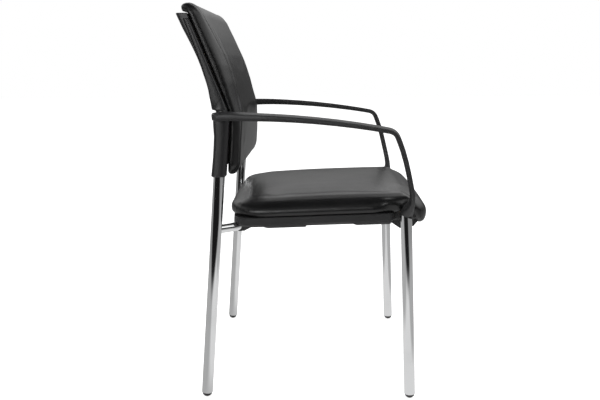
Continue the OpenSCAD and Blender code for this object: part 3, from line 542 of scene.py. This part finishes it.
def cushion_from(node, carriers, name, voxel):
    """A cushion filled by cloth pressure on its CAD solid. It keeps that form where other pieces touch it"""
    cushions = bpy.context.scene.chair_cushions
    piece = traced(node, name)
    form = surface_of(piece)
    finish(piece, "REMESH", mode="VOXEL", voxel_size=voxel, use_smooth_shade=True)
    touching = surface_of(*(frame["nodes"][carrier] for carrier in carriers))
    group = piece.vertex_groups.new(name="free")
    held = []
    for v in piece.data.vertices:
        v.co = form.find_nearest(v.co)[0]
        held.append(1 - step_between(touching.find_nearest(v.co)[3], HELD_TO, FREE_FROM))
        group.add([v.index], 1 - held[-1], "REPLACE")
    finish(piece, "SMOOTH", factor=0.5, iterations=6, vertex_group="free")
    piece.vertex_groups.clear()
    mesh = piece.data
    near = neighbours_of(mesh)
    filled_out(mesh, form, near, held)
    home = [v.co.copy() for v in mesh.vertices]
    normals = [v.normal.copy() for v in mesh.vertices]
    for v, normal, share in zip(mesh.vertices, normals, held):
        v.co -= normal * cushions.drawn_in * (1 - share)
    fill_cushion(piece, cushions, held)
    swell = [(v.co - start).dot(normal) for v, start, normal in zip(piece.data.vertices, home, normals)]
    swell = evened(swell, near, rounds=14, fixed=firmly(held))
    loose = [out for out, share in zip(swell, held) if share < 0.5]
    middle = sum(loose) / len(loose)
    group = piece.vertex_groups.new(name="held")
    for v, start, normal, out, share in zip(piece.data.vertices, home, normals, swell, held):
        full = 1 + math.tanh((out - middle) / EVEN_SWELL)
        v.co = start + normal * cushions.fullness * 0.5 * full * (1 - share)
        group.add([v.index], share, "REPLACE")
    return piece


def kept_outside(piece, node, carriers):
    """Brings a subdivided cover back out to its CAD solid, and clear of the pieces that carry it"""
    mesh = piece.data
    held = [sum(g.weight for g in v.groups) for v in mesh.vertices]
    filled_out(mesh, surface_of(frame["nodes"][node]), neighbours_of(mesh), held)
    piece.vertex_groups.clear()
    for surface in [surface_of(frame["nodes"][carrier]) for carrier in carriers]:
        for v in mesh.vertices:
            spot, normal, _, away = surface.find_nearest(v.co)
            if away < CARRIER_REACH and (v.co - spot).dot(normal) < 0:
                v.co = spot + normal * CARRIER_GAP
    mesh.update()


# Points along the fold at the right collar, in metres, from its rear end forward. The left one mirrors it
FOLD = (
    Vector((-0.2085, -0.158, 0.4575)), Vector((-0.2160, -0.170, 0.4560)), Vector((-0.2150, -0.183, 0.4545)),
    Vector((-0.2145, -0.194, 0.4525)), Vector((-0.2140, -0.204, 0.4490)))
FOLD_REACH = 0.06       # the fold touches no point farther than this from its middle
FOLD_RUN = (-0.2, 1.6)  # points of the fold over which it rises to its full height


def gather_folds(piece, cushions):
    """Raises the fold that the cover throws towards each front collar"""
    for v, normal in [(v, v.normal.copy()) for v in piece.data.vertices]:
        point = Vector((-abs(v.co.x), v.co.y, v.co.z))
        if (point - FOLD[2]).length > FOLD_REACH:
            continue
        away, run = 1.0, 0
        for i, (a, b) in enumerate(zip(FOLD, FOLD[1:])):
            share = min(1.0, max(0.0, (point - a).dot(b - a) / (b - a).length_squared))
            reach = (point - a.lerp(b, share)).length
            if reach < away:
                away, run = reach, i + share
        outward = step_between(math.copysign(normal.x, normal.x * v.co.x), 0.0, 0.3)
        rise = outward * step_between(run, *FOLD_RUN) * math.exp(-(away / cushions.fold_width) ** 2)
        v.co += normal * cushions.fold_height * rise


class CHAIR_OT_seat_cushion(bpy.types.Operator):
    """Fills the seat cushion and gathers its cover at the arms' collars"""

    bl_idname = "chair.seat_cushion"
    bl_label = "Seat cushion"

    def execute(self, context):
        cushions = context.scene.chair_cushions
        carriers = ("seat_board", "seat_pan", "arm_left", "arm_right", "front_leg_left", "front_leg_right")
        piece = cushion_from("seat_cushion", carriers, "seat_cushion_cover", cushions.seat_voxel)
        finish(piece, "SUBSURF", levels=1, render_levels=1)
        kept_outside(piece, "seat_cushion", carriers[:2])
        gather_folds(piece, cushions)
        dress(piece, "leather")
        smoothed(piece, 180)
        placed(piece, "seat_cushion")
        return {"FINISHED"}


# The back's line and the back cushion's outline, in metres and degrees, as the solids have them
FOOT_Y, REAR_LEAN = 0.2346, 4.76  # where a rear leg's axis meets the floor, and its lean
LINE_AHEAD = 0.0167               # how far the back's line runs in front of that axis
KNEE, BACK_LEAN = 0.647, 21.7     # height of the crank, and how far the back leans over above it
CRANK_EASE = 0.002                # how softly the line turns there
PAD_LOW, PAD_HIGH, PAD_HALF = 0.516, 0.881, 0.217

# The upright seam: share of the cushion's height, share of its half width
SEAM_ROWS = (
    (0, 0.945), (0.2, 0.935), (0.33, 0.86), (0.45, 0.79), (0.6, 0.76), (0.7, 0.77), (0.82, 0.83), (1, 0.9))
PUFF, PUFF_OFF, PUFF_WIDTH = 0.35, 0.016, 0.010  # swell beside a seam: share of its depth, place, half width
FRONT_SKIN = (0.004, 0.009)  # distance in front of the line over which the front skin comes in
FACES_BACK = 0.5             # a skin whose normal has this much Y or more counts as facing back
FACING = 0.4                 # and one with this much less counts as facing forward


def low_line(z):
    """Front face of the side members below the crank, in metres behind the middle"""
    return FOOT_Y - z * math.tan(math.radians(REAR_LEAN)) - LINE_AHEAD


def back_line(z):
    """Front face of the back's side members, in metres behind the middle"""
    low = low_line(z)
    high = low_line(KNEE) + (z - KNEE) * math.tan(math.radians(BACK_LEAN))
    return (low + high) / 2 + math.sqrt(((low - high) / 2) ** 2 + CRANK_EASE ** 2)


def along_table(value, rows):
    """A number read from rows of place and number"""
    for (a, first), (b, last) in zip(rows, rows[1:]):
        if value <= b:
            return first + (last - first) * max(0.0, value - a) / (b - a)
    return rows[-1][1]


def off_seam(point):
    """How far a point lies outside the upright seam on its side of the back cushion"""
    share = min(1.0, max(0.0, (point.z - PAD_LOW) / (PAD_HIGH - PAD_LOW)))
    return abs(point.x) - PAD_HALF * along_table(share, SEAM_ROWS)


def in_front(point):
    """1 on the front, the top and the bottom of the back cushion, 0 behind"""
    return step_between(back_line(point.z) - point.y, *FRONT_SKIN)


def press_seams(piece, cushions):
    """Presses the upright seams into the back cushion and marks how far each point lies from them"""
    mesh = piece.data
    mesh.update()
    off_marks = mesh.attributes.new("off_seam", "FLOAT", "POINT")
    run_marks = mesh.attributes.new("along_seam", "FLOAT", "POINT")
    normals = [v.normal.copy() for v in mesh.vertices]
    for v, normal in zip(mesh.vertices, normals):
        off = off_seam(v.co)
        front = in_front(v.co) * step_between(FACES_BACK - normal.y, 0.0, FACING)
        off_marks.data[v.index].value = off + (1 - front)
        run_marks.data[v.index].value = v.co.z - v.co.y
        valley = math.exp(-(off / cushions.seam_width) ** 2)
        puff = PUFF * math.exp(-((abs(off) - PUFF_OFF) / PUFF_WIDTH) ** 2)
        v.co -= normal * cushions.seam_depth * (valley - puff) * front


class CHAIR_OT_back_cushion(bpy.types.Operator):
    """Fills the back cushion and sews its two upright seams"""

    bl_idname = "chair.back_cushion"
    bl_label = "Back cushion"

    def execute(self, context):
        cushions = context.scene.chair_cushions
        carriers = ("back_board", "back_frame", "back_shell", "arm_left", "arm_right")
        piece = cushion_from("back_cushion", carriers, "back_cushion_cover", cushions.back_voxel)
        finish(piece, "SUBSURF", levels=1, render_levels=1)
        kept_outside(piece, "back_cushion", carriers[:3])
        press_seams(piece, cushions)
        dress(piece, "leather_sewn")
        smoothed(piece, 180)
        placed(piece, "back_cushion")
        return {"FINISHED"}


# Mouldings


def moulding(node, name, slot, edge=None):
    """A moulded piece whose facets are shaded as one curve, with small radii where an edge is given"""
    piece = traced(node, name)
    if edge:
        finish(
            piece, "BEVEL", width=edge, segments=2, limit_method="ANGLE", angle_limit=math.radians(48))
    dress(piece, slot)
    smoothed(piece, 34)
    placed(piece, node)


class CHAIR_OT_arms(bpy.types.Operator):
    """Shades each arm's facets as one curve"""

    bl_idname = "chair.arms"
    bl_label = "Arms"

    def execute(self, context):
        for side in ("left", "right"):
            moulding("arm_" + side, "arm_moulding_" + side, "arm_plastic")
        return {"FINISHED"}


class CHAIR_OT_mouldings(bpy.types.Operator):
    """Shades the back frame, the rear shell and the seat pan as curves, and rounds the pan's edges"""

    bl_idname = "chair.mouldings"
    bl_label = "Back and seat mouldings"

    def execute(self, context):
        edge = context.scene.chair_mouldings.edge
        moulding("back_frame", "back_frame_moulding", "back_plastic")
        moulding("back_shell", "back_shell_moulding", "back_plastic")
        moulding("seat_pan", "seat_pan_moulding", "pan_plastic", edge)
        return {"FINISHED"}


class CHAIR_OT_frame_finishes(bpy.types.Operator):
    """Gives every CAD node that stays its finish"""

    bl_idname = "chair.frame_finishes"
    bl_label = "Frame finishes"

    def execute(self, context):
        slots = {part["node"]: part["material_slot"] for part in frame["record"]["subparts"]}
        for name, node in frame["nodes"].items():
            dress(node, slots[name])
        return {"FINISHED"}


# Studio

# The camera as fitted to the photograph: place in metres, turns in radians, focal length in pixels
CAMERA_PLACE = (-1.5923, -0.0211, 0.7589)
CAMERA_PITCH, CAMERA_YAW, CAMERA_ROLL = 0.2129764, 0.0272020, -0.0058138
FOCAL_PIXELS, PHOTO_WIDTH = 642.398, 600
SENSOR = 36.0

# The room in reflections: ranges of a ray's X, Y or Z over which each bright patch comes in or dies away
FAR_SIDE = (-0.25, 0.3)
BAND_FOOT, BAND_HEAD = (0.1, 0.36), (0.72, 0.5)
BOX_FOOT, BOX_HEAD = (0.5, 0.65), (0.95, 0.85)
CARD_SIDE, CARD_BACK = (-0.05, 0.2), (-0.5, -0.8)
CARD_FOOT, CARD_HEAD = (-0.01, 0.06), (0.5, 0.3)
FRONT_SIDE, FRONT_FOOT = (-0.35, -0.6), (0.35, 0.5)
ROOM_LEAST = 0.01

# The floor in reflections: ranges in metres over which its parts come in or end, and how bright they are
DARK_X, DARK_Y = (-0.85, -1.3), (-1.3, -0.8)
STRIP_FRONT, STRIP_REAR, STRIP_EDGE = (-0.6, -0.4), (0.28, 0.08), (1.3, 1.0)
POOL_EDGE = (2.2, 1.2)
FAR_GLOW, POOL_GLOW, STRIP_GLOW, DARK_GLOW = 0.3, 0.47, 0.33, 0.011
SEEN_GLOW = 0.8  # brightness that the camera sees on top of the lit floor


def camera_at(place, pitch, yaw, roll):
    """A camera at a place in metres that looks along +X, turned by angles in radians"""
    ahead = Vector((math.cos(pitch) * math.cos(yaw), math.cos(pitch) * math.sin(yaw), -math.sin(pitch)))
    right = ahead.cross(Vector((0, 0, 1))).normalized()
    up = right.cross(ahead)
    c, s = math.cos(roll), math.sin(roll)
    right, up = right * c + up * s, up * c - right * s
    lens = bpy.data.cameras.new("photo_camera")
    lens.sensor_width = SENSOR
    lens.lens = FOCAL_PIXELS / PHOTO_WIDTH * SENSOR
    lens.clip_start = 0.05
    lens.clip_end = 60
    camera = bpy.data.objects.new("photo_camera", lens)
    bpy.context.scene.collection.objects.link(camera)
    camera.matrix_world = Matrix((
        (right.x, up.x, -ahead.x, place[0]), (right.y, up.y, -ahead.y, place[1]),
        (right.z, up.z, -ahead.z, place[2]), (0, 0, 0, 1)))
    bpy.context.scene.camera = camera


def rays(look):
    """1 for what the camera, a reflection or a refraction sees"""
    path = look.add("ShaderNodeLightPath").socket.node
    kinds = ("Is Camera Ray", "Is Glossy Ray", "Is Transmission Ray")
    return [Val(look, path.outputs[kind]) for kind in kinds]


def studio_air(studio):
    """White all round for the camera. Reflections find a bright band over a dim horizon on the far side, and
    a low card, a box overhead and a box over the chair's front on the near side"""
    world = bpy.data.worlds.new("studio_air")
    world.use_nodes = True
    bpy.context.scene.world = world
    look = Look(world.node_tree)
    seen, glossy, through = rays(look)
    x, y, z = look.parts(look.add("ShaderNodeTexCoord", output="Generated"))
    far = look.ramp(x, *FAR_SIDE)
    band = look.ramp(z, *BAND_FOOT, studio.horizon, studio.band) * look.ramp(z, *BAND_HEAD)
    box = look.ramp(z, *BOX_FOOT) * look.ramp(z, *BOX_HEAD) * studio.box
    behind = look.ramp(y, *CARD_SIDE) * look.ramp(x, *CARD_BACK)
    card = behind * look.ramp(z, *CARD_FOOT) * look.ramp(z, *CARD_HEAD) * studio.card
    front = look.ramp(y, *FRONT_SIDE) * look.ramp(z, *FRONT_FOOT) * studio.front
    room = far * band + (1 - far) * (box + card + front + ROOM_LEAST)
    level = seen + (1 - seen) * (through + (1 - through) * (glossy * room + (1 - glossy) * studio.air))
    shader = look.add("ShaderNodeBackground", None, {"Color": (1, 1, 1, 1), "Strength": level})
    look.add("ShaderNodeOutputWorld", None, {"Surface": shader})


def floor_look():
    """White floor that keeps the chair's shadow. Reflections find a bright pool round the chair with a
    brighter strip across it, a dimmer floor beyond, and a dark stretch under the camera and behind it"""
    material, look = new_look("studio_floor")
    seen, glossy, through = rays(look)
    x, y, _ = look.parts(look.place())
    reach = (x * x + y * y) ** 0.5
    dark = look.ramp(x, *DARK_X) * look.ramp(y, *DARK_Y)
    strip = look.ramp(y, *STRIP_FRONT) * look.ramp(y, *STRIP_REAR)
    across = look.ramp(reach, *STRIP_EDGE) * strip * STRIP_GLOW
    pool = look.ramp(reach, *POOL_EDGE, FAR_GLOW, POOL_GLOW) + across
    mirrored = glossy * (pool * (1 - dark) + dark * DARK_GLOW)
    glow = seen * SEEN_GLOW + mirrored + through * SEEN_GLOW
    white = look.add("ShaderNodeBsdfDiffuse", None, {"Color": (0.8, 0.8, 0.8, 1)})
    unlit = look.add("ShaderNodeEmission", None, {"Strength": 0.0})
    light = look.add("ShaderNodeEmission", None, {"Color": (1, 1, 1, 1), "Strength": glow})
    shown = look.add("ShaderNodeMixShader", None, {0: glossy, 1: white, 2: unlit})
    both = look.add("ShaderNodeAddShader", None, {0: shown, 1: light})
    look.add("ShaderNodeOutputMaterial", None, {"Surface": both})
    return material


def lamp(name, place, target, size, power):
    """A square lamp that lights the chair but isn't seen in reflections"""
    light = bpy.data.lights.new(name, "AREA")
    light.shape = "SQUARE"
    light.size = size
    light.energy = power
    piece = bpy.data.objects.new(name, light)
    bpy.context.scene.collection.objects.link(piece)
    piece.location = place
    piece.rotation_euler = (Vector(target) - Vector(place)).to_track_quat("-Z", "Y").to_euler()
    piece.visible_glossy = False


class CHAIR_OT_stage(bpy.types.Operator):
    """Lays the floor, hangs the lamps and sets the camera"""

    bl_idname = "chair.stage"
    bl_label = "Stage"

    def execute(self, context):
        studio = context.scene.chair_studio
        context.scene.view_settings.view_transform = "Standard"
        camera_at(CAMERA_PLACE, CAMERA_PITCH, CAMERA_YAW, CAMERA_ROLL)
        bpy.ops.object.select_all(action="DESELECT")
        bpy.ops.mesh.primitive_grid_add(x_subdivisions=8, y_subdivisions=8, size=24, location=(0, 0, 0))
        floor = context.active_object
        floor.name = "studio_floor"
        floor.data.materials.append(floor_look())
        studio_air(studio)
        lamp("top_lamp", place=(0.5, -0.2, 2.8), target=(0, 0, 0.4), size=2.4, power=studio.top)
        lamp("front_lamp", place=(0.2, -2.6, 1.6), target=(0, 0, 0.5), size=1.6, power=studio.side)
        lamp("rear_lamp", place=(0.4, 2.6, 1.5), target=(0, 0, 0.5), size=1.6, power=studio.side)
        return {"FINISHED"}


class CHAIR_PT_panel(bpy.types.Panel):
    """Buttons for the chair's pieces"""

    bl_idname = "CHAIR_PT_panel"
    bl_label = "Visitor chair"
    bl_space_type = "VIEW_3D"
    bl_region_type = "UI"
    bl_category = "Chair"

    def draw(self, context):
        for step in STEPS:
            self.layout.operator(step.bl_idname)
        for group in GROUPS:
            settings = getattr(context.scene, group)
            box = self.layout.box()
            for name in settings.__annotations__:
                box.prop(settings, name)


STEPS = (
    CHAIR_OT_frame_finishes, CHAIR_OT_arms, CHAIR_OT_mouldings, CHAIR_OT_seat_cushion,
    CHAIR_OT_back_cushion, CHAIR_OT_stage)
GROUPS = {
    "chair_cushions": ChairCushions, "chair_mouldings": ChairMouldings, "chair_finishes": ChairFinishes,
    "chair_studio": ChairStudio}


def register():
    for kind in (*GROUPS.values(), *STEPS, CHAIR_PT_panel):
        bpy.utils.register_class(kind)
    for name, kind in GROUPS.items():
        setattr(bpy.types.Scene, name, PointerProperty(type=kind))


def unregister():
    for name in GROUPS:
        delattr(bpy.types.Scene, name)
    for kind in (CHAIR_PT_panel, *reversed(STEPS), *GROUPS.values()):
        bpy.utils.unregister_class(kind)


def main():
    register()
    bpy.ops.chair.frame_finishes()
    bpy.ops.chair.arms()
    bpy.ops.chair.mouldings()
    bpy.ops.chair.seat_cushion()
    bpy.ops.chair.back_cushion()
    bpy.ops.chair.stage()


if __name__ == "__main__":
    main()
